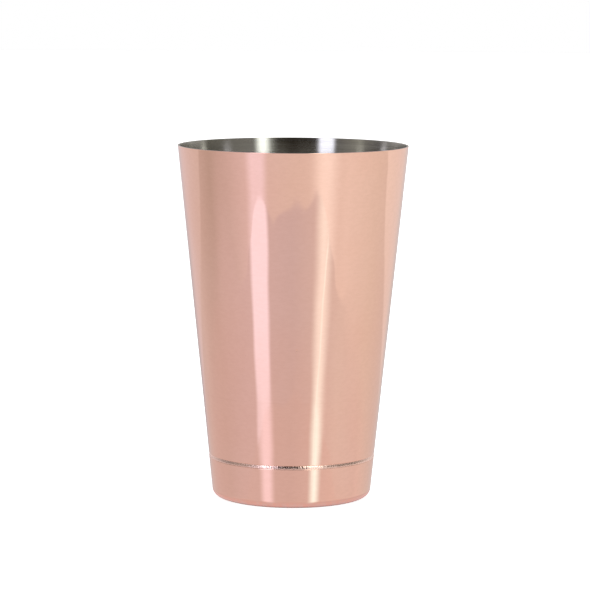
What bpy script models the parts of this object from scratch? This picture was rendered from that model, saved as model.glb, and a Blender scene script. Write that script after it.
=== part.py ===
"""Weighted metal shaker tin: a tapered drawn cup in a short, flush base cap.

A steel ballast disc is bonded under the cup's floor, and a weld bead closes the seam between the cup and
the cap. Units are metres. The axis of the tin is Z, and the origin is on it, in the plane of the foot ring.
"""

import math

import bmesh
import bpy

# Driving dimensions
HEIGHT = 0.1343  # foot ring to the top of the lip
RIM_RADIUS = 0.0438  # outermost point of the lip
FOOT_LINE_RADIUS = 0.02998  # where the line of the outer wall meets the ground
LIP_PROUD = 0.00008  # how far the lip stands out from the line of the wall
SHEET = 0.0006  # thickness of both pressings
GAP = 0.0003  # air left between two touching pieces
SEAM_HEIGHT = 0.01595  # middle of the weld bead

# Lip
LIP_THICKNESS = 0.0008
LIP_EDGE_RADIUS = 0.00025
LIP_SIDE = 0.0002  # upright part of the lip's outer side
LIP_BLEND = 0.0004  # height over which the lip runs back into the wall

# Seam
BEAD_RADIUS = 0.0003
BEAD_SIDES = 8
SHOULDER_RISE = 0.0010  # from the middle of the bead to the bend of the cup's shoulder
CAP_PROUD = 0.00008  # how far the cap stands out from the line of the wall
CAP_EDGE_CHAMFER = 0.00015

# Base
FOOT_CORNER_RADIUS = 0.0030
FOOT_RING_WIDTH = 0.0025
RECESS_DEPTH = 0.0008
RECESS_SLOPE = 0.0010  # width of the step between the foot ring and the recess
FLOOR_CORNER_RADIUS = 0.0030  # inside the cup, between its floor and its wall
BALLAST_RADIUS = 0.0260
BALLAST_THICKNESS = 0.0030
BALLAST_CHAMFER = 0.0004
BOND_RADIUS = 0.0220
BOND_THICKNESS = 0.0003

# Colours
COPPER = (0.93, 0.62, 0.52)
MILD_STEEL = (0.42, 0.41, 0.40)
RESIN = (0.55, 0.50, 0.38)

# Mesh fineness
TURN_STEPS = 72
ARC_POINTS = 5
MERGE_DISTANCE = 0.00001
SHARP_ANGLE = math.radians(30.0)

# Worked out from the above
WALL_SLOPE = (RIM_RADIUS - LIP_PROUD - FOOT_LINE_RADIUS) / HEIGHT
WALL_ANGLE = math.atan(WALL_SLOPE)
CUP_INSET = SHEET + GAP - CAP_PROUD  # the cup's step inward, where it enters the cap
SHOULDER_TOP = SEAM_HEIGHT + SHOULDER_RISE
SHOULDER_FOOT = SHOULDER_TOP - CUP_INSET
CAP_TOP = SEAM_HEIGHT - BEAD_RADIUS - GAP
PANEL_TOP = RECESS_DEPTH + SHEET
BALLAST_BOTTOM = PANEL_TOP + GAP
BOND_BOTTOM = BALLAST_BOTTOM + BALLAST_THICKNESS + GAP
FLOOR_UNDERSIDE = BOND_BOTTOM + BOND_THICKNESS + GAP
FLOOR_TOP = FLOOR_UNDERSIDE + SHEET


def wall_radius(height, inset=0.0):
    """Radius of the outer wall line at a height, moved inward by inset."""
    return FOOT_LINE_RADIUS + WALL_SLOPE * height - inset


def arc(center, radius, start, end, count=ARC_POINTS):
    """Points (radius, height) along an arc, with its angles in radians from +X towards +Z."""
    turns = [start + (end - start) * step / (count - 1) for step in range(count)]
    return [(center[0] + radius * math.cos(turn), center[1] + radius * math.sin(turn)) for turn in turns]


def corner_center(level, corner_radius, inset):
    """Centre of a rounding that touches the level below it and the sloping wall outside it."""
    height = level + corner_radius
    return wall_radius(height, inset) - corner_radius / math.cos(WALL_ANGLE), height


def clear_scene():
    for existing in list(bpy.data.objects):
        bpy.data.objects.remove(existing, do_unlink=True)


def metal(name, color, roughness, metallic=1.0):
    material = bpy.data.materials.new(name)
    material.use_nodes = True
    shader = material.node_tree.nodes["Principled BSDF"]
    shader.inputs["Base Color"].default_value = (*color, 1.0)
    shader.inputs["Roughness"].default_value = roughness
    shader.inputs["Metallic"].default_value = metallic
    return material


def add_piece(name, mesh, material, collection, assembly):
    piece = bpy.data.objects.new(name, mesh)
    mesh.materials.append(material)
    collection.objects.link(piece)
    piece.parent = assembly
    return piece


def bake(piece):
    """Turns the piece's modifiers into mesh, shaded smooth except at its corners."""
    graph = bpy.context.evaluated_depsgraph_get()
    baked = bpy.data.meshes.new_from_object(piece.evaluated_get(graph))
    baked.name = piece.name
    piece.modifiers.clear()
    piece.data = baked
    baked.shade_smooth()
    baked.set_sharp_from_angle(angle=SHARP_ANGLE)


def turned(name, profile, closed, material, collection, assembly):
    """A solid turned about Z from a profile that runs down its outer side."""
    mesh = bpy.data.meshes.new(name)
    edges = [(index, index + 1) for index in range(len(profile) - 1)]
    if closed:
        edges.append((len(profile) - 1, 0))
    mesh.from_pydata([(radius, 0.0, height) for radius, height in profile], edges, [])
    piece = add_piece(name, mesh, material, collection, assembly)
    screw = piece.modifiers.new("Turn", "SCREW")
    screw.axis = "Z"
    screw.angle = math.tau
    screw.steps = TURN_STEPS
    screw.render_steps = TURN_STEPS
    screw.use_merge_vertices = True
    screw.merge_threshold = MERGE_DISTANCE
    bake(piece)
    return piece


def disc(name, radius, thickness, chamfer, bottom, material, collection, assembly):
    """A flat round plate with its underside at height bottom."""
    mesh = bpy.data.meshes.new(name)
    shape = bmesh.new()
    sizes = {"radius1": radius, "radius2": radius, "depth": thickness}
    bmesh.ops.create_cone(shape, cap_ends=True, segments=TURN_STEPS, **sizes)
    shape.to_mesh(mesh)
    shape.free()
    piece = add_piece(name, mesh, material, collection, assembly)
    piece.location.z = bottom + thickness / 2
    if chamfer:
        bevel = piece.modifiers.new("Edge", "BEVEL")
        bevel.width = chamfer
        bevel.segments = 1
    bake(piece)
    return piece


def cup_profile():
    """From the middle of the inside floor, up the inside, over the lip and down the outside."""
    inner_inset = CUP_INSET + SHEET
    inner_corner = corner_center(FLOOR_TOP, FLOOR_CORNER_RADIUS, inner_inset)
    outer_corner_radius = FLOOR_CORNER_RADIUS + SHEET
    outer_corner = corner_center(FLOOR_UNDERSIDE, outer_corner_radius, CUP_INSET)
    lip_inside = RIM_RADIUS - LIP_THICKNESS
    lip_arc_height = HEIGHT - LIP_EDGE_RADIUS
    lip_foot = lip_arc_height - LIP_SIDE
    blend_foot = lip_foot - LIP_BLEND
    inner_bend = SHEET * math.tan((math.pi / 4 - WALL_ANGLE) / 2)

    profile = [(0.0, FLOOR_TOP)]
    profile += arc(inner_corner, FLOOR_CORNER_RADIUS, -math.pi / 2, -WALL_ANGLE)
    profile.append((wall_radius(SHOULDER_FOOT + inner_bend, inner_inset), SHOULDER_FOOT + inner_bend))
    profile.append((wall_radius(SHOULDER_TOP + inner_bend, SHEET), SHOULDER_TOP + inner_bend))
    profile.append((wall_radius(blend_foot, SHEET), blend_foot))
    profile += arc((lip_inside + LIP_EDGE_RADIUS, lip_arc_height), LIP_EDGE_RADIUS, math.pi, math.pi / 2)
    profile += arc((RIM_RADIUS - LIP_EDGE_RADIUS, lip_arc_height), LIP_EDGE_RADIUS, math.pi / 2, 0.0)
    profile.append((RIM_RADIUS, lip_foot))
    profile.append((wall_radius(blend_foot), blend_foot))
    profile.append((wall_radius(SHOULDER_TOP), SHOULDER_TOP))
    profile.append((wall_radius(SHOULDER_FOOT, CUP_INSET), SHOULDER_FOOT))
    profile += arc(outer_corner, outer_corner_radius, -WALL_ANGLE, -math.pi / 2)
    profile.append((0.0, FLOOR_UNDERSIDE))
    return profile


def cap_profile():
    """From the middle of the cap's inside, up the inside, over the edge and down to the foot ring."""
    inner_corner_radius = FOOT_CORNER_RADIUS - SHEET
    corner = corner_center(0.0, FOOT_CORNER_RADIUS, -CAP_PROUD)
    ring_inside = corner[0] - FOOT_RING_WIDTH
    recess_edge = ring_inside - RECESS_SLOPE

    profile = [(0.0, PANEL_TOP), (recess_edge, PANEL_TOP), (ring_inside, SHEET)]
    profile += arc(corner, inner_corner_radius, -math.pi / 2, -WALL_ANGLE)
    profile.append((wall_radius(CAP_TOP, SHEET - CAP_PROUD), CAP_TOP))
    profile.append((wall_radius(CAP_TOP, -CAP_PROUD) - CAP_EDGE_CHAMFER, CAP_TOP))
    profile.append((wall_radius(CAP_TOP, -CAP_PROUD), CAP_TOP - CAP_EDGE_CHAMFER))
    profile += arc(corner, FOOT_CORNER_RADIUS, -WALL_ANGLE, -math.pi / 2)
    profile += [(ring_inside, 0.0), (recess_edge, RECESS_DEPTH), (0.0, RECESS_DEPTH)]
    return profile


def bead_profile():
    """A round bead whose outside is level with the wall."""
    center = (wall_radius(SEAM_HEIGHT, BEAD_RADIUS), SEAM_HEIGHT)
    top = math.pi / 2
    return arc(center, BEAD_RADIUS, top, top - math.tau, BEAD_SIDES + 1)[:-1]


def build_shaker_tin():
    clear_scene()
    collection = bpy.data.collections.new("Weighted_Shaker_Tin")
    bpy.context.scene.collection.children.link(collection)
    assembly = bpy.data.objects.new("assembly", None)
    collection.objects.link(assembly)

    cup_copper = metal("cup_copper", COPPER, 0.12)
    cap_copper = metal("cap_copper", COPPER, 0.12)
    plated_weld = metal("plated_weld", COPPER, 0.20)
    ballast_steel = metal("ballast_steel", MILD_STEEL, 0.45)
    bond_resin = metal("bond_resin", RESIN, 0.60, metallic=0.0)

    turned("tin_cup", cup_profile(), False, cup_copper, collection, assembly)
    turned("base_cap", cap_profile(), False, cap_copper, collection, assembly)
    turned("seam_weld", bead_profile(), True, plated_weld, collection, assembly)
    ballast = (BALLAST_RADIUS, BALLAST_THICKNESS, BALLAST_CHAMFER, BALLAST_BOTTOM)
    bond = (BOND_RADIUS, BOND_THICKNESS, 0.0, BOND_BOTTOM)
    disc("ballast_disc", *ballast, ballast_steel, collection, assembly)
    disc("ballast_bond", *bond, bond_resin, collection, assembly)


build_shaker_tin()
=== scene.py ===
"""Looks for a copper-plated, weighted shaker tin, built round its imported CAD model. Units are metres."""

import math

import bmesh
import bpy
from mathutils import Euler, Matrix, Vector


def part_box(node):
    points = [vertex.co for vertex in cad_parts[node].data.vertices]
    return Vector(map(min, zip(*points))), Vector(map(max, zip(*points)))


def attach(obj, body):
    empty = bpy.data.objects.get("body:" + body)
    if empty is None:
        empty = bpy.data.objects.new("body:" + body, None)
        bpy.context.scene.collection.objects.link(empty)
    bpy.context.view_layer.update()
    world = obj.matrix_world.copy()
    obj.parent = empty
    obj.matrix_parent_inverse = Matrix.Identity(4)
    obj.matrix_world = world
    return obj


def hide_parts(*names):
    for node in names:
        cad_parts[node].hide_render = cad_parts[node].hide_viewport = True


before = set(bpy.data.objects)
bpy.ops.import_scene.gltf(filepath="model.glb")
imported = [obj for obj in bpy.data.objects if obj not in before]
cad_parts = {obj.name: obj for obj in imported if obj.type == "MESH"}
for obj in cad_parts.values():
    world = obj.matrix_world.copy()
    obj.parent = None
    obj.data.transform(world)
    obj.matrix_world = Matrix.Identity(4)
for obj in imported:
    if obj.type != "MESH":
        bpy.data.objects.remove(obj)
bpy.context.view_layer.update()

# ---------------------------------------------------------------- sizes, from the frame
CUP_LOW, CUP_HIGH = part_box("tin_cup")
WELD_LOW, WELD_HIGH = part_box("seam_weld")
HEIGHT = CUP_HIGH.z
RIM_RADIUS = CUP_HIGH.x
FLOOR_UNDERSIDE = CUP_LOW.z
SEAM_HEIGHT = (WELD_LOW.z + WELD_HIGH.z) / 2
SEAM_RADIUS = WELD_HIGH.x

# ---------------------------------------------------------------- fine shape of the real pieces
SHEET = 0.0006
LIP_PROUD = 0.00002  # how far inside the CAD rim the line of the wall ends
LIP_THICKNESS = 0.0008
LIP_EDGE_RADIUS = 0.00010
BARE_EDGE_STEPS = 7  # steps over the lip's edge, from the inside, that stay bare steel
CAP_PROUD = 0.00008  # how far the cap stands out from the line of the wall
BEAD_FACE_RADIUS = 0.0029
BEAD_TOP_ANGLE = 23.0
BEAD_FOOT_ANGLE = -2.5
BEAD_DEPTH = 0.00045
BEAD_PROUD = 0.00003  # how far the bead's belly stands out from the wall
BEAD_RIPPLE = 0.000007
BEAD_RIPPLES = ((1.0, 233, 0, 0.0), (0.8, 371, 0, 0.7), (0.6, 157, 0, 2.0))  # given like WALL_WAVES
BEAD_DRIFTS = ((1.0, 41, 0, 1.1), (0.7, 97, 0, 0.0))
BEAD_CENTER_DROP = 0.00055  # the centre of the face's curve, below the middle of the seam
SEAM_CLEARANCE = 0.00003
CUP_GAP = 0.0002  # between the cup and the inside of the cap
CAP_EDGE_RADIUS = 0.00015
CUP_EDGE_RADIUS = 0.00012
FOOT_CORNER_RADIUS = 0.0030
FOOT_RING_WIDTH = 0.0025
RECESS_DEPTH = 0.0008
RECESS_SLOPE = 0.0010
RUBBED_HEIGHT = 0.0035  # how far up the foot's plating is rubbed by the bar top
FLOOR_CORNER_RADIUS = 0.0030
SUPPORT = 0.0002  # distance from a rounding to the loop that keeps the flat next to it flat
STEP_TOP_RISE = 0.0018  # from the seam's top to the top of the step on the cup's inside
STEP_HEIGHT = 0.0016
WAVE_DEPTH = 0.000010  # how far the polished wall wanders from a true cone
WALL_WAVES = (  # size, waves round the tin, turning with height, and phase
    (1.0, 12, 95, 0.0),
    (0.5, 23, -160, 1.3),
    (0.2, 31, 240, 0.4),
    (0.12, 2, 430, 0.0),
)
WAVE_FADE = 0.006  # height over which those waves die out, at the seam and at the lip
WAVE_FREE_TOP = 0.0035  # the wall right below the lip, which has no waves
TURN_STEPS = 288
BEAD_STEPS = 1440

# ---------------------------------------------------------------- worked out from the above
BEAD_CENTER = SEAM_HEIGHT - BEAD_CENTER_DROP
BEAD_TOP = BEAD_CENTER + BEAD_FACE_RADIUS * math.sin(math.radians(BEAD_TOP_ANGLE))
BEAD_FOOT = BEAD_CENTER + BEAD_FACE_RADIUS * math.sin(math.radians(BEAD_FOOT_ANGLE))
BEAD_INSET = sum(ripple[0] for ripple in BEAD_RIPPLES)  # keeps the highest ripple within the bead's face
SEAM_TOP = BEAD_TOP + SEAM_CLEARANCE
SEAM_FOOT = BEAD_FOOT - SEAM_CLEARANCE
WALL_SLOPE = (RIM_RADIUS - LIP_PROUD - SEAM_RADIUS) / (HEIGHT - SEAM_HEIGHT)
WALL_ANGLE = math.atan(WALL_SLOPE)
WALL_DEGREES = math.degrees(WALL_ANGLE)
CUP_INSET = SHEET + CUP_GAP  # the cup's step inward, where it enters the cap

# ---------------------------------------------------------------- camera
CAMERA_DISTANCE = 1.0811
CAMERA_HEIGHT = 0.2091
CAMERA_SIDE = 0.00098
CAMERA_PITCH = math.radians(6.963)
CAMERA_ROLL = math.radians(0.317)
SENSOR_WIDTH = 36.0
LENS = 174.3

# ---------------------------------------------------------------- studio
FLOOR_RADIUS = 4.6
DOME_RADIUS = 4.7
FLOOR_DROP = 0.0001  # below the foot ring, so that the two faces never share a plane

# The tin mirrors a studio that is given by direction. Azimuths are in degrees from the camera's side,
# positive to the right. Elevations are in degrees above the horizon. Colours are brightness, with white at 1.
# Most parts of it are a gradient of a few tones with two soft boxes laid over it. A soft box is given by its
# colour, its left and right edges, and the softness of those edges.
FAR_FLOOR = (  # the pale floor in front of the table
    (-180, (0.65, 0.59, 0.60)),
    (-130, (0.69, 0.65, 0.65)),
    (-95, (0.53, 0.50, 0.48)),
    (-50, (0.76, 0.72, 0.77)),
    (0, (0.77, 0.75, 0.74)),
    (60, (0.88, 0.87, 0.85)),
    (100, (0.79, 0.78, 0.74)),
    (180, (0.65, 0.59, 0.60)),
)
FAR_BOXES = (((0.97, 0.97, 1.15), -47.0, -29.0, 5.0), ((1.06, 1.12, 1.13), 24.0, 44.0, 9.0))
TABLE_TOP = (  # the glossy table top
    (-180, (0.72, 0.65, 0.66)),
    (-100, (0.66, 0.61, 0.62)),
    (-50, (0.71, 0.67, 0.73)),
    (0, (0.66, 0.64, 0.69)),
    (60, (0.79, 0.78, 0.77)),
    (100, (0.77, 0.71, 0.70)),
    (110, (0.80, 0.73, 0.72)),
    (180, (0.72, 0.65, 0.66)),
)
TOP_BOXES = (((1.09, 1.15, 1.40), -47.2, -27.8, 2.7), ((1.08, 1.22, 1.24), 28.0, 41.5, 6.5))
TABLE_NEAR = (  # the table top close to the tin, where it also mirrors the tin's own copper
    (-180, (0.74, 0.66, 0.65)),
    (-50, (0.71, 0.65, 0.67)),
    (0, (0.69, 0.63, 0.64)),
    (60, (0.79, 0.70, 0.68)),
    (180, (0.74, 0.66, 0.65)),
)
NEAR_BOXES = (((1.04, 1.01, 1.17), -43.0, -28.0, 6.0), ((1.14, 1.52, 1.55), 28.0, 38.6, 6.0))
BACKDROP = (  # the paper behind the table
    (-180, (0.56, 0.56, 0.60)),
    (-150, (0.76, 0.72, 0.76)),
    (-112, (0.70, 0.68, 0.68)),
    (112, (0.91, 0.92, 0.90)),
    (150, (0.82, 0.79, 0.78)),
    (180, (0.56, 0.56, 0.60)),
)
PAPER_SHADE = (  # how much darker that paper is at its foot
    (-180, (0.72, 0.68, 0.66)),
    (-145, (1.00, 1.00, 1.00)),
    (145, (1.00, 1.00, 1.00)),
    (180, (0.82, 0.82, 0.80)),
)
ROOM = (  # a dark room behind the camera, with paler sides and a dark gap right behind the tin
    (-180, (0.12, 0.09, 0.08)),
    (-174, (0.84, 0.82, 0.81)),
    (-140, (0.79, 0.77, 0.77)),
    (-100, (0.22, 0.21, 0.21)),
    (-70, (0.38, 0.36, 0.32)),
    (-50, (0.20, 0.19, 0.18)),
    (-20, (0.01, 0.005, 0.0)),
    (14, (0.01, 0.005, 0.0)),
    (45, (0.28, 0.27, 0.25)),
    (100, (0.22, 0.21, 0.18)),
    (106, (0.44, 0.43, 0.40)),
    (140, (0.79, 0.79, 0.77)),
    (174, (0.84, 0.82, 0.81)),
    (180, (0.12, 0.09, 0.08)),
)
ROOM_BOXES = (((2.20, 2.25, 2.65), -43.5, -27.0, 2.5), ((2.50, 2.60, 2.52), 26.5, 38.0, 4.5))
UPPER_ROOM = (  # the same room above the height of the tin
    (-180, (0.75, 0.75, 0.75)),
    (-46, (0.60, 0.57, 0.58)),
    (-26, (0.01, 0.005, 0.0)),
    (19, (0.01, 0.005, 0.0)),
    (43, (0.62, 0.60, 0.58)),
    (180, (0.75, 0.75, 0.75)),
)
UPPER_BOXES = (((3.10, 3.05, 3.50), -45.0, -27.5, 2.5), ((4.05, 4.20, 3.95), 21.5, 40.0, 3.5))
FRONT_EDGE = -16.95  # elevation of the table's front edge straight ahead
FRONT_EDGE_RISES = (  # where that edge stands higher: by how much, from and to which azimuth, and how softly
    (0.80, -45.0, -28.0, 9.0),
    (0.55, 18.0, 38.0, 8.0),
    (-0.45, 46.0, 64.0, 8.0),
    (2.90, -220.0, -72.0, 13.0),
    (0.40, 80.0, 220.0, 10.0),
)
BACK_EDGE = -11.55  # elevation of the line where the table meets the paper
BACK_EDGE_RISE = (1.9, 122.0, 97.0)  # how much higher it is at the sides, and between which azimuths it rises
GLINT_LINE = (35.9, 1.9, -18.5)  # a bright line in the right soft box: azimuth, lean, and their elevation
GLINT_COLOR = (1.12, 1.42, 1.44)
GLINT_STRENGTH = 0.8
GLINT_HALF_WIDTH = 0.8
GLINT_SOFTNESS = 0.7
GLINT_ELEVATIONS = (-22.0, -16.9, 0.4)  # its lower and upper end, and how softly it fades there
NEAR_EDGE = -20.7  # elevation where the table's near part begins
NEAR_DRIFT = (2.2, -0.9)  # from and to where it comes in slowly, measured from that edge
NEAR_STEP = 0.12  # half the height of the step in it
NEAR_SHARES = (0.7, 0.3)  # how much of it comes in slowly, and how much at the step
NEAR_TINT = (1.00, 0.965, 0.925)  # what the tin's copper does to the table right at its foot
NEAR_TINT_ELEVATIONS = (-21.8, -24.3)
EDGE_SOFTNESS = (0.10, 1.7)  # the front edge's blur at the front, and how much is added at the sides
EDGE_SOFT_AZIMUTHS = (58.0, 80.0)
BACK_EDGE_SOFTNESS = 0.3
PAPER_AZIMUTHS = (98.0, 106.0)  # where the paper begins, to either side
PAPER_SHADE_ELEVATIONS = (-5.5, -9.0)
HORIZON_ELEVATIONS = (-6.0, -1.0)  # where what stands below blends into what stands above
UPPER_ROOM_ELEVATIONS = (13.0, 26.0)
CEILING = (0.68, 0.68, 0.66)
CEILING_ELEVATIONS = (56.0, 76.0)
FLOOR_GLOW = 0.80
FLOOR_WHITE = (0.80, 0.80, 0.80)
PAINTED_FOOT_REFLECTION = (  # painted reflection of the tin's own foot in the table, with painted contact shade under it: colour by distance from the axis, in millimetres
    (0.0, (0.08, 0.06, 0.05)),
    (27.8, (0.16, 0.10, 0.09)),
    (29.3, (0.74, 0.57, 0.58)),
    (37.0, (0.70, 0.61, 0.61)),
)
# where that painted reflection fades out, in millimetres from the axis
PAINTED_FOOT_REFLECTION_FADE = (31.0, 37.0)


# ---------------------------------------------------------------- node helpers
class Nodes:
    """Adds nodes to a tree. A value may be a number, a tuple or another node's output."""

    def __init__(self, tree):
        self.tree = tree

    def add(self, kind, output=0, values=(), **settings):
        node = self.tree.nodes.new(kind)
        for name, setting in settings.items():
            setattr(node, name, setting)
        for key, value in dict(values).items():
            self.feed(node.inputs[key], value)
        return node.outputs[output]

    def feed(self, socket, value):
        if isinstance(value, bpy.types.NodeSocket):
            self.tree.links.new(value, socket)
        elif isinstance(value, tuple) and len(value) == 3 and socket.type == "RGBA":
            socket.default_value = (*value, 1.0)
        else:
            socket.default_value = value

    def math(self, operation, first, second=0.0):
        return self.add("ShaderNodeMath", values={0: first, 1: second}, operation=operation)

    def smooth(self, value, low, high):
        """0 below low, 1 above high and a smooth step between them. It falls if low is above high."""
        start, end = (0.0, 1.0) if low < high else (1.0, 0.0)
        low, high = min(low, high), max(low, high)
        values = {"Value": value, "From Min": low, "From Max": high, "To Min": start, "To Max": end}
        return self.add("ShaderNodeMapRange", values=values, interpolation_type="SMOOTHSTEP")

    def window(self, value, low, high, softness):
        rising = self.smooth(value, low - softness, low + softness)
        falling = self.smooth(value, high + softness, high - softness)
        return self.math("MULTIPLY", rising, falling)

    def mix(self, factor, first, second, blend="MIX"):
        node = self.tree.nodes.new("ShaderNodeMix")
        node.data_type = "RGBA"
        node.blend_type = blend
        self.feed(node.inputs["Factor"], factor)
        self.feed(node.inputs["A"], first)
        self.feed(node.inputs["B"], second)
        return node.outputs["Result"]

    def ramp(self, factor, stops):
        """A colour ramp from (position, colour) stops."""
        node = self.tree.nodes.new("ShaderNodeValToRGB")
        self.feed(node.inputs["Fac"], factor)
        elements = node.color_ramp.elements
        while len(elements) < len(stops):
            elements.new(0.5)
        for element, (position, color) in zip(elements, stops):
            element.position = position
            element.color = (*color, 1.0)
        return node.outputs["Color"]

    def scale_add(self, value, factor, offset):
        return self.add("ShaderNodeMath", values={0: value, 1: factor, 2: offset}, operation="MULTIPLY_ADD")

    def noise(self, vector, scale, detail=2.0, roughness=0.5):
        values = {"Vector": vector, "Scale": scale, "Detail": detail, "Roughness": roughness}
        return self.add("ShaderNodeTexNoise", values=values)

    def scaled(self, vector, factors):
        return self.add("ShaderNodeVectorMath", values={0: vector, 1: factors}, operation="MULTIPLY")

    def separate(self, vector):
        node = self.tree.nodes.new("ShaderNodeSeparateXYZ")
        self.feed(node.inputs[0], vector)
        return node.outputs


def around(nodes, x, y):
    """Azimuth in degrees: 0 on the camera's side, positive to the right."""
    turn = nodes.math("ARCTAN2", x, nodes.math("MULTIPLY", y, -1.0))
    return nodes.math("MULTIPLY", turn, math.degrees(1.0))


def azimuth_ramp(nodes, azimuth, stops):
    share = nodes.scale_add(azimuth, 1.0 / 360.0, 0.5)
    return nodes.ramp(share, [(degrees / 360.0 + 0.5, color) for degrees, color in stops])


# ---------------------------------------------------------------- materials
def new_material(name):
    material = bpy.data.materials.new(name)
    material.use_nodes = True
    tree = material.node_tree
    return material, Nodes(tree), tree.nodes["Principled BSDF"]


def bump(nodes, height, distance, strength=1.0, normal=None):
    values = {"Height": height, "Distance": distance, "Strength": strength}
    if normal is not None:
        values["Normal"] = normal
    return nodes.add("ShaderNodeBump", values=values)


def plated_copper(name):
    """Mirror-polished copper plating: faint tone drift, haze, polishing lines, pits and rubbed edges."""
    material, nodes, shader = new_material(name)
    place = nodes.add("ShaderNodeTexCoord", "Object")
    height = nodes.separate(place)["Z"]

    drift = nodes.noise(place, 22.0, 3.0)
    tone = nodes.ramp(drift, [(0.30, (0.955, 0.585, 0.462)), (0.70, (0.960, 0.612, 0.494))])
    rings = nodes.noise(nodes.scaled(place, (3.0, 3.0, 900.0)), 1.0, 3.0)
    tone = nodes.mix(nodes.smooth(rings, 0.62, 0.80), tone, (0.93, 0.57, 0.45))
    grain = nodes.noise(nodes.scaled(place, (420.0, 420.0, 900.0)), 1.0, 2.0, 0.6)
    tone = nodes.mix(nodes.smooth(grain, 0.30, 0.70), tone, (0.975, 0.970, 0.965), "MULTIPLY")
    foot = nodes.smooth(height, RUBBED_HEIGHT, 0.0)
    rubbed = nodes.math("MULTIPLY", foot, nodes.smooth(nodes.noise(place, 500.0, 4.0), 0.40, 0.62))
    tone = nodes.mix(rubbed, tone, (0.88, 0.66, 0.57))
    nodes.feed(shader.inputs["Base Color"], tone)
    shader.inputs["Metallic"].default_value = 1.0

    haze = nodes.smooth(nodes.noise(place, 60.0, 4.0, 0.6), 0.35, 0.75)
    rough = nodes.scale_add(haze, 0.025, 0.012)
    rough = nodes.math("ADD", rough, nodes.math("MULTIPLY", rubbed, 0.16))
    nodes.feed(shader.inputs["Roughness"], rough)

    fine = nodes.noise(nodes.scaled(place, (6.0, 6.0, 2600.0)), 1.0, 2.0)
    lines = bump(nodes, fine, 0.00000012)
    pits = nodes.add("ShaderNodeTexVoronoi", "Distance", {"Vector": place, "Scale": 260.0})
    rare = nodes.smooth(nodes.noise(place, 70.0, 1.0), 0.70, 0.74)
    pit = nodes.math("MULTIPLY", nodes.smooth(pits, 0.10, 0.03), rare)
    nodes.feed(shader.inputs["Normal"], bump(nodes, pit, -0.00004, normal=lines))
    return material


def brushed_steel(name):
    """Bare stainless sheet brushed round the inside of the cup."""
    material, nodes, shader = new_material(name)
    place = nodes.add("ShaderNodeTexCoord", "Object")
    strokes = nodes.noise(nodes.scaled(place, (14.0, 14.0, 3200.0)), 1.0, 4.0, 0.65)
    bands = nodes.noise(nodes.scaled(place, (5.0, 5.0, 500.0)), 1.0, 2.0)
    tone = nodes.ramp(strokes, [(0.25, (0.47, 0.455, 0.425)), (0.75, (0.64, 0.625, 0.585))])
    tone = nodes.mix(nodes.smooth(bands, 0.35, 0.75), tone, (0.52, 0.50, 0.46))
    nodes.feed(shader.inputs["Base Color"], tone)
    shader.inputs["Metallic"].default_value = 1.0
    rough = nodes.scale_add(strokes, 0.10, 0.12)
    nodes.feed(shader.inputs["Roughness"], rough)
    shader.inputs["Anisotropic"].default_value = 0.90
    shader.inputs["Anisotropic Rotation"].default_value = 0.25
    tangent = nodes.add("ShaderNodeTangent", direction_type="RADIAL", axis="Z")
    nodes.feed(shader.inputs["Tangent"], tangent)
    nodes.feed(shader.inputs["Normal"], bump(nodes, strokes, 0.000004))
    return material


def plated_weld(name):
    """Copper plating over the small weld bead: rippled, grainy and rougher than on the walls."""
    material, nodes, shader = new_material(name)
    place = nodes.add("ShaderNodeTexCoord", "Object")
    grain = nodes.noise(place, 2200.0, 3.0, 0.6)
    lumps = nodes.noise(place, 900.0, 2.0, 0.5)
    tone = nodes.ramp(grain, [(0.30, (0.94, 0.62, 0.52)), (0.75, (0.96, 0.70, 0.62))])
    nodes.feed(shader.inputs["Base Color"], tone)
    shader.inputs["Metallic"].default_value = 1.0
    patches = nodes.smooth(grain, 0.40, 0.60)
    nodes.feed(shader.inputs["Roughness"], nodes.scale_add(patches, 0.24, 0.14))
    uneven = bump(nodes, lumps, 0.00006)
    nodes.feed(shader.inputs["Normal"], bump(nodes, grain, 0.00002, normal=uneven))
    return material


def mill_steel(name):
    """Plain blanked steel plate with mill scale and a few scratches."""
    material, nodes, shader = new_material(name)
    place = nodes.add("ShaderNodeTexCoord", "Object")
    scale = nodes.noise(place, 180.0, 6.0, 0.6)
    tone = nodes.ramp(scale, [(0.35, (0.22, 0.21, 0.20)), (0.70, (0.42, 0.41, 0.40))])
    nodes.feed(shader.inputs["Base Color"], tone)
    shader.inputs["Metallic"].default_value = 1.0
    scratches = nodes.noise(nodes.scaled(place, (40.0, 2200.0, 40.0)), 1.0, 2.0)
    rough = nodes.scale_add(scale, 0.30, 0.30)
    nodes.feed(shader.inputs["Roughness"], rough)
    rolled = bump(nodes, scratches, 0.000008)
    nodes.feed(shader.inputs["Normal"], bump(nodes, scale, 0.00002, normal=rolled))
    return material


def cured_resin(name):
    """Squeezed-out structural adhesive, slightly cloudy, with small bubbles."""
    material, nodes, shader = new_material(name)
    place = nodes.add("ShaderNodeTexCoord", "Object")
    cloud = nodes.noise(place, 120.0, 4.0)
    tone = nodes.ramp(cloud, [(0.30, (0.46, 0.40, 0.26)), (0.70, (0.60, 0.54, 0.40))])
    nodes.feed(shader.inputs["Base Color"], tone)
    bubbles = nodes.add("ShaderNodeTexVoronoi", "Distance", {"Vector": place, "Scale": 700.0})
    rough = nodes.scale_add(cloud, 0.25, 0.35)
    nodes.feed(shader.inputs["Roughness"], rough)
    nodes.feed(shader.inputs["Normal"], bump(nodes, nodes.smooth(bubbles, 0.05, 0.20), 0.00005))
    return material


# ---------------------------------------------------------------- turned shapes
def wall_radius(height, inset=0.0):
    """Radius of the outer wall line at a height, moved inward by inset."""
    return SEAM_RADIUS + WALL_SLOPE * (height - SEAM_HEIGHT) - inset


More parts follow.
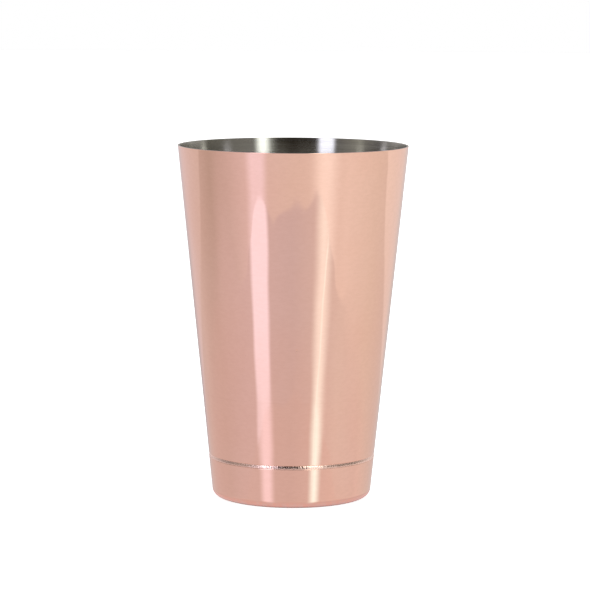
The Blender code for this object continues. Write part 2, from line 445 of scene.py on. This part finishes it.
def arc(center, radius, start, end, count):
    """Points (radius, height) along an arc, with its angles in degrees from +X towards +Z."""
    points = []
    for step in range(count):
        turn = math.radians(start + (end - start) * step / (count - 1))
        points.append((center[0] + radius * math.cos(turn), center[1] + radius * math.sin(turn)))
    return points


def line(start, end, count):
    """Points between start and end, with one close to each end to hold the flat."""
    length = math.dist(start, end)
    shares = [step / count for step in range(count + 1)]
    if length > 3 * SUPPORT:
        shares[1:1] = [SUPPORT / length]
        shares[-1:-1] = [1 - SUPPORT / length]
    return [tuple(a + (b - a) * share for a, b in zip(start, end)) for share in shares]


def corner_center(level, corner_radius, inset):
    """Centre of a rounding that touches the level below it and the sloping wall outside it."""
    height = level + corner_radius
    return wall_radius(height, inset) - corner_radius / math.cos(WALL_ANGLE), height


def joined(*runs):
    """One profile from several runs, without repeating the points where they meet."""
    profile = []
    for run in runs:
        for point in run:
            if not profile or math.dist(point, profile[-1]) > 1e-7:
                profile.append(point)
    return profile


def still(radius, height, turn):
    """No change of shape: the turned solid stays truly round."""
    return radius, height


def waves(table, turn, height):
    """The sum of several sine waves that run round the tin."""
    return sum(size * math.sin(count * turn + twist * height + phase) for size, count, twist, phase in table)


def polished_wall(radius, height, turn):
    """The slight waviness that spinning and polishing leave, fading out at the lip and at the seam."""
    above_seam = min(max((height - SEAM_HEIGHT) / WAVE_FADE, 0.0), 1.0)
    below_lip = min(max((HEIGHT - WAVE_FREE_TOP - height) / WAVE_FADE, 0.0), 1.0)
    wave = waves(WALL_WAVES, turn, height)
    return radius + WAVE_DEPTH * wave * above_seam * below_lip, height


def weld_ripples(radius, height, turn):
    """Small, uneven ripples along the weld bead."""
    ripple = waves(BEAD_RIPPLES, turn, height)
    drift = waves(BEAD_DRIFTS, turn, height)
    return radius - BEAD_RIPPLE * (BEAD_INSET + ripple), height + BEAD_RIPPLE * drift


def turned(name, profile, materials, material_at, closed=False, shape=still, steps=TURN_STEPS):
    """A solid turned about Z. material_at says which material the band below a profile point takes."""
    solid = bmesh.new()
    rings = []
    for radius, height in profile:
        if radius < 1e-6:
            rings.append([solid.verts.new((0.0, 0.0, height))] * steps)
            continue
        ring = []
        for step in range(steps):
            turn = math.tau * step / steps
            r, z = shape(radius, height, turn)
            ring.append(solid.verts.new((r * math.cos(turn), r * math.sin(turn), z)))
        rings.append(ring)
    bands = list(zip(rings, rings[1:]))
    if closed:
        bands.append((rings[-1], rings[0]))
    for index, (upper, lower) in enumerate(bands):
        for step in range(steps):
            after = (step + 1) % steps
            corners = [upper[step], upper[after], lower[after], lower[step]]
            corners = list(dict.fromkeys(corners))
            face = solid.faces.new(corners)
            face.smooth = True
            face.material_index = material_at(index)
    bmesh.ops.recalc_face_normals(solid, faces=solid.faces)
    mesh = bpy.data.meshes.new(name)
    solid.to_mesh(mesh)
    solid.free()
    for material in materials:
        mesh.materials.append(material)
    piece = bpy.data.objects.new(name, mesh)
    bpy.context.scene.collection.objects.link(piece)
    return piece


def eased(start, end, count):
    """Points from start to end, evenly spaced in the second value, with the first one easing in and out."""
    points = []
    for index in range(count):
        share = index / (count - 1)
        soft = share * share * (3 - 2 * share)
        points.append((start[0] + (end[0] - start[0]) * soft, start[1] + (end[1] - start[1]) * share))
    return points


def lip_profile():
    """The lip's two roundings: its inner edge, then its outer edge, which runs straight into the wall."""
    level = HEIGHT - LIP_EDGE_RADIUS
    inner_center = (RIM_RADIUS - LIP_THICKNESS + LIP_EDGE_RADIUS, level)
    outer_center = (wall_radius(level) - LIP_EDGE_RADIUS / math.cos(WALL_ANGLE), level)
    inner = arc(inner_center, LIP_EDGE_RADIUS, 180, 90, 10)
    outer = arc(outer_center, LIP_EDGE_RADIUS, 90, -WALL_DEGREES, 14)
    return inner, outer


def build_cup(copper, steel):
    """The drawn cup: its floor, inside, lip, outer wall, and the narrower part that is hidden in the cap."""
    floor_top = FLOOR_UNDERSIDE + SHEET
    inner_inset = CUP_INSET + SHEET
    inner_corner = corner_center(floor_top, FLOOR_CORNER_RADIUS, inner_inset)
    outer_corner = corner_center(FLOOR_UNDERSIDE, FLOOR_CORNER_RADIUS + SHEET, CUP_INSET)
    lip_inner, lip_outer = lip_profile()
    step_top = SEAM_TOP + STEP_TOP_RISE
    step_foot = step_top - STEP_HEIGHT

    inner_floor = line((0.0, floor_top), (inner_corner[0], floor_top), 12)
    inner_round = arc(inner_corner, FLOOR_CORNER_RADIUS, -90, -WALL_DEGREES, 14)
    inner_low = line(inner_round[-1], (wall_radius(step_foot, inner_inset), step_foot), 4)
    step = eased(inner_low[-1], (wall_radius(step_top, SHEET), step_top), 9)
    inner_wall = line(step[-1], lip_inner[0], 60)
    edge_level = SEAM_TOP + CUP_EDGE_RADIUS
    edge_center = (wall_radius(edge_level, CUP_EDGE_RADIUS), edge_level)
    edge = arc(edge_center, CUP_EDGE_RADIUS, -WALL_DEGREES, -90, 8)
    outer_wall = line(lip_outer[-1], edge[0], 90)
    under_edge = (wall_radius(SEAM_TOP, CUP_INSET), SEAM_TOP)
    outer_round = arc(outer_corner, FLOOR_CORNER_RADIUS + SHEET, -WALL_DEGREES, -90, 10)
    outer_low = line(under_edge, outer_round[0], 3)
    outer_floor = line(outer_round[-1], (0.0, FLOOR_UNDERSIDE), 4)

    inside = joined(inner_floor, inner_round, inner_low, step, inner_wall, lip_inner)
    outside = joined(inside[-1:], lip_outer, outer_wall, edge)
    hidden = joined(outside[-1:], [under_edge], outer_low, outer_round, outer_floor)
    first_copper = len(inside) - 1 + BARE_EDGE_STEPS
    first_hidden = len(joined(inside, outside)) - 1

    def material_at(index):
        return 0 if first_copper <= index < first_hidden else 1

    profile = joined(inside, outside, hidden)
    return turned("cup_shell", profile, [copper, steel], material_at, shape=polished_wall)


def build_cap(copper, steel):
    """The drawn cap: its bare inside, top edge, outer wall, foot ring and set-in underside."""
    corner = corner_center(0.0, FOOT_CORNER_RADIUS, -CAP_PROUD)
    ring_inside = corner[0] - FOOT_RING_WIDTH
    recess_edge = ring_inside - RECESS_SLOPE
    panel_top = RECESS_DEPTH + SHEET
    inset = SHEET - CAP_PROUD
    inner_round = arc(corner, FOOT_CORNER_RADIUS - SHEET, -90, -WALL_DEGREES, 10)
    edge_level = SEAM_FOOT - CAP_EDGE_RADIUS
    edge_center = (wall_radius(edge_level, CAP_EDGE_RADIUS - CAP_PROUD), edge_level)
    edge = arc(edge_center, CAP_EDGE_RADIUS, 90, -WALL_DEGREES, 14)
    outer_round = arc(corner, FOOT_CORNER_RADIUS, -WALL_DEGREES, -90, 20)
    inside = joined(
        [(0.0, panel_top), (recess_edge, panel_top), (ring_inside, SHEET)],
        inner_round,
        [(wall_radius(SEAM_FOOT, inset), SEAM_FOOT)],
    )
    slope = [(r, z) for z, r in eased((0.0, ring_inside), (RECESS_DEPTH, recess_edge), 9)]
    outside = joined(
        edge,
        line(edge[-1], outer_round[0], 20),
        outer_round,
        line(outer_round[-1], slope[0], 4),
        slope,
        line(slope[-1], (0.0, RECESS_DEPTH), 20),
    )
    profile = joined(inside, outside)
    first_copper = len(inside) - 1

    def material_at(index):
        return 0 if index >= first_copper else 1

    return turned("cap_shell", profile, [copper, steel], material_at)


def build_bead(weld):
    """The weld bead: a gently rounded face that looks a little upward, and a flat root behind it."""
    belly = SEAM_RADIUS + BEAD_PROUD
    face = arc((belly - BEAD_FACE_RADIUS, BEAD_CENTER), BEAD_FACE_RADIUS, BEAD_TOP_ANGLE, BEAD_FOOT_ANGLE, 19)
    root = belly - BEAD_DEPTH
    profile = joined(face, [(root, face[-1][1]), (root, face[0][1])])
    return turned("weld_bead", profile, [weld], lambda index: 0, True, weld_ripples, BEAD_STEPS)


# ---------------------------------------------------------------- studio
def staged_disc(name, radius, height, material):
    """A flat disc of the set, not of the tin."""
    mesh = bpy.data.meshes.new(name)
    shape = bmesh.new()
    bmesh.ops.create_circle(shape, cap_ends=True, segments=96, radius=radius)
    bmesh.ops.translate(shape, verts=shape.verts, vec=(0.0, 0.0, height))
    shape.to_mesh(mesh)
    shape.free()
    mesh.materials.append(material)
    disc = bpy.data.objects.new(name, mesh)
    bpy.context.scene.collection.objects.link(disc)
    return disc


def emission_material(name, color, strength):
    """A material that only glows, with its helper and its glow node."""
    material = bpy.data.materials.new(name)
    material.use_nodes = True
    nodes = Nodes(material.node_tree)
    material.node_tree.nodes.remove(material.node_tree.nodes["Principled BSDF"])
    glow = nodes.add("ShaderNodeEmission", values={"Color": color, "Strength": strength})
    output = material.node_tree.nodes["Material Output"]
    nodes.feed(output.inputs["Surface"], glow)
    return material, nodes, glow.node


def build_floor():
    """A white, lit floor: mostly its own glow, with a little of the studio's light on top."""
    material, nodes, glow = emission_material("floor_white", (1.0, 1.0, 1.0), FLOOR_GLOW)
    diffuse = nodes.add("ShaderNodeBsdfDiffuse", values={"Color": FLOOR_WHITE})
    both = nodes.add("ShaderNodeAddShader", values={0: glow.outputs[0], 1: diffuse})
    nodes.feed(material.node_tree.nodes["Material Output"].inputs["Surface"], both)
    floor = staged_disc("floor", FLOOR_RADIUS, -FLOOR_DROP, material)
    floor.visible_glossy = False


def build_painted_foot_reflection():
    """A disc round the foot that only mirrors see. It glows with a painted reflection that stands for the
    tin's own image in the glossy table, with painted contact shade under the foot.
    """
    material, nodes, glow = emission_material("painted_foot_reflection", (1.0, 1.0, 1.0), 1.0)
    place = nodes.add("ShaderNodeNewGeometry", "Position")
    distance = nodes.add("ShaderNodeVectorMath", "Value", {0: place}, operation="LENGTH")
    distance = nodes.math("MULTIPLY", distance, 1000.0)
    reach = PAINTED_FOOT_REFLECTION[-1][0]
    stops = [(span / reach, color) for span, color in PAINTED_FOOT_REFLECTION]
    # the glow paints the foot's reflection, dark as painted contact shade near the axis, by distance from the
    # axis
    nodes.feed(glow.inputs["Color"], nodes.ramp(nodes.math("MULTIPLY", distance, 1.0 / reach), stops))
    clear = nodes.add("ShaderNodeBsdfTransparent")
    fade = nodes.smooth(distance, *PAINTED_FOOT_REFLECTION_FADE)
    both = nodes.add("ShaderNodeMixShader", values={0: fade, 1: glow.outputs[0], 2: clear})
    nodes.feed(material.node_tree.nodes["Material Output"].inputs["Surface"], both)
    disc = staged_disc("painted_foot_reflection", PAINTED_FOOT_REFLECTION_FADE[1] / 1000.0, -FLOOR_DROP / 2, material)
    disc.visible_camera = False
    disc.visible_diffuse = False
    disc.visible_transmission = False
    disc.visible_shadow = False


def build_dome():
    """A white backdrop all round, which only the camera sees."""
    mesh = bpy.data.meshes.new("backdrop")
    shape = bmesh.new()
    bmesh.ops.create_uvsphere(shape, u_segments=96, v_segments=48, radius=DOME_RADIUS)
    shape.to_mesh(mesh)
    shape.free()
    mesh.materials.append(emission_material("backdrop_white", (1.0, 1.0, 1.0), 1.0)[0])
    dome = bpy.data.objects.new("backdrop", mesh)
    bpy.context.scene.collection.objects.link(dome)
    dome.visible_glossy = False
    dome.visible_diffuse = False
    dome.visible_transmission = False
    dome.visible_shadow = False


def zone(nodes, azimuth, tones, boxes):
    """A gradient of tones round the tin, with the soft boxes laid over it."""
    light = azimuth_ramp(nodes, azimuth, tones)
    for color, left, right, softness in boxes:
        light = nodes.mix(nodes.window(azimuth, left, right, softness), light, color)
    return light


def table_light(nodes, azimuth, elevation):
    """The table top: its far part, its near part with the tin's copper in it, and a soft box's glint."""
    top = zone(nodes, azimuth, TABLE_TOP, TOP_BOXES)
    near = zone(nodes, azimuth, TABLE_NEAR, NEAR_BOXES)
    slow, sudden = NEAR_SHARES
    drift = nodes.smooth(elevation, *[NEAR_EDGE + reach for reach in NEAR_DRIFT])
    step = nodes.smooth(elevation, NEAR_EDGE + NEAR_STEP, NEAR_EDGE - NEAR_STEP)
    share = nodes.math("ADD", nodes.math("MULTIPLY", drift, slow), nodes.math("MULTIPLY", step, sudden))
    top = nodes.mix(share, top, near)
    top = nodes.mix(nodes.smooth(elevation, *NEAR_TINT_ELEVATIONS), top, NEAR_TINT, "MULTIPLY")

    place, lean, level = GLINT_LINE
    middle = nodes.scale_add(elevation, lean, place - lean * level)
    aside = nodes.math("SUBTRACT", azimuth, middle)
    glint = nodes.window(aside, -GLINT_HALF_WIDTH, GLINT_HALF_WIDTH, GLINT_SOFTNESS)
    glint = nodes.math("MULTIPLY", glint, nodes.window(elevation, *GLINT_ELEVATIONS))
    return nodes.mix(nodes.math("MULTIPLY", glint, GLINT_STRENGTH), top, GLINT_COLOR)


def studio_below(nodes, azimuth, elevation):
    """What stands below the horizon: the far floor, the table top, and the paper behind it."""
    far = zone(nodes, azimuth, FAR_FLOOR, FAR_BOXES)
    top = table_light(nodes, azimuth, elevation)
    edge = FRONT_EDGE
    for rise, left, right, softness in FRONT_EDGE_RISES:
        edge = nodes.scale_add(nodes.window(azimuth, left, right, softness), rise, edge)
    aside = nodes.math("ABSOLUTE", azimuth)
    least, added = EDGE_SOFTNESS
    softness = nodes.scale_add(nodes.smooth(aside, *EDGE_SOFT_AZIMUTHS), added, least)
    depth = nodes.math("DIVIDE", nodes.math("SUBTRACT", edge, elevation), softness)
    light = nodes.mix(nodes.smooth(depth, -1.0, 1.0), far, top)

    rise, low, high = BACK_EDGE_RISE
    edge = nodes.scale_add(nodes.smooth(aside, low, high), rise, BACK_EDGE)
    height = nodes.math("SUBTRACT", elevation, edge)
    above = nodes.smooth(height, -BACK_EDGE_SOFTNESS, BACK_EDGE_SOFTNESS)
    behind = nodes.math("MULTIPLY", above, nodes.smooth(aside, *PAPER_AZIMUTHS))
    paper = azimuth_ramp(nodes, azimuth, BACKDROP)
    shade = azimuth_ramp(nodes, azimuth, PAPER_SHADE)
    paper = nodes.mix(nodes.smooth(elevation, *PAPER_SHADE_ELEVATIONS), paper, shade, "MULTIPLY")
    return nodes.mix(behind, light, paper)


def studio_above(nodes, azimuth, elevation):
    """What stands above the horizon, up to the ceiling."""
    low = zone(nodes, azimuth, ROOM, ROOM_BOXES)
    high = zone(nodes, azimuth, UPPER_ROOM, UPPER_BOXES)
    light = nodes.mix(nodes.smooth(elevation, *UPPER_ROOM_ELEVATIONS), low, high)
    return nodes.mix(nodes.smooth(elevation, *CEILING_ELEVATIONS), light, CEILING)


def build_studio():
    """The surroundings that light the tin and that it mirrors, given by direction."""
    world = bpy.data.worlds.new("studio")
    bpy.context.scene.world = world
    world.use_nodes = True
    nodes = Nodes(world.node_tree)
    direction = nodes.add("ShaderNodeTexCoord", "Generated")
    x, y, z = nodes.separate(direction)
    azimuth = around(nodes, x, y)
    elevation = nodes.math("MULTIPLY", nodes.math("ARCSINE", z), math.degrees(1.0))
    above = nodes.smooth(elevation, *HORIZON_ELEVATIONS)
    below = studio_below(nodes, azimuth, elevation)
    light = nodes.mix(above, below, studio_above(nodes, azimuth, elevation))
    background = world.node_tree.nodes["Background"]
    nodes.feed(background.inputs["Color"], light)


def build_camera():
    """The photo's camera: a long lens, a little above the rim and looking slightly down."""
    camera = bpy.data.objects.new("camera", bpy.data.cameras.new("camera"))
    bpy.context.scene.collection.objects.link(camera)
    camera.data.sensor_width = SENSOR_WIDTH
    camera.data.lens = LENS
    look = Euler((math.pi / 2 - CAMERA_PITCH, 0.0, 0.0)).to_matrix().to_4x4()
    roll = Matrix.Rotation(CAMERA_ROLL, 4, "Z")
    place = Matrix.Translation(Vector((CAMERA_SIDE, -CAMERA_DISTANCE, CAMERA_HEIGHT)))
    camera.matrix_world = place @ look @ roll
    bpy.context.scene.camera = camera
    bpy.context.scene.view_settings.view_transform = "Standard"


# ---------------------------------------------------------------- assembly
def build_tin():
    """The three pieces that are seen, each in its CAD node's place, and looks for the two hidden ones."""
    copper = plated_copper("copper_plating")
    cap_copper = plated_copper("cap_copper_plating")
    steel = brushed_steel("brushed_inside")
    cup = build_cup(copper, steel)
    cap = build_cap(cap_copper, steel)
    bead = build_bead(plated_weld("weld_plating"))
    rows = ((cup, "tin_cup", "copper_plated_steel"), (cap, "base_cap", "copper_plated_steel"))
    for piece, node, slot in (*rows, (bead, "seam_weld", "plated_weld")):
        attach(piece, "root")
        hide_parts(node)
    finishes = {"ballast_disc": mill_steel("mill_steel"), "ballast_bond": cured_resin("cured_resin")}
    for node, material in finishes.items():
        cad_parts[node].data.materials.clear()
        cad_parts[node].data.materials.append(material)


build_camera()
build_studio()
build_floor()
build_painted_foot_reflection()
build_dome()
build_tin()
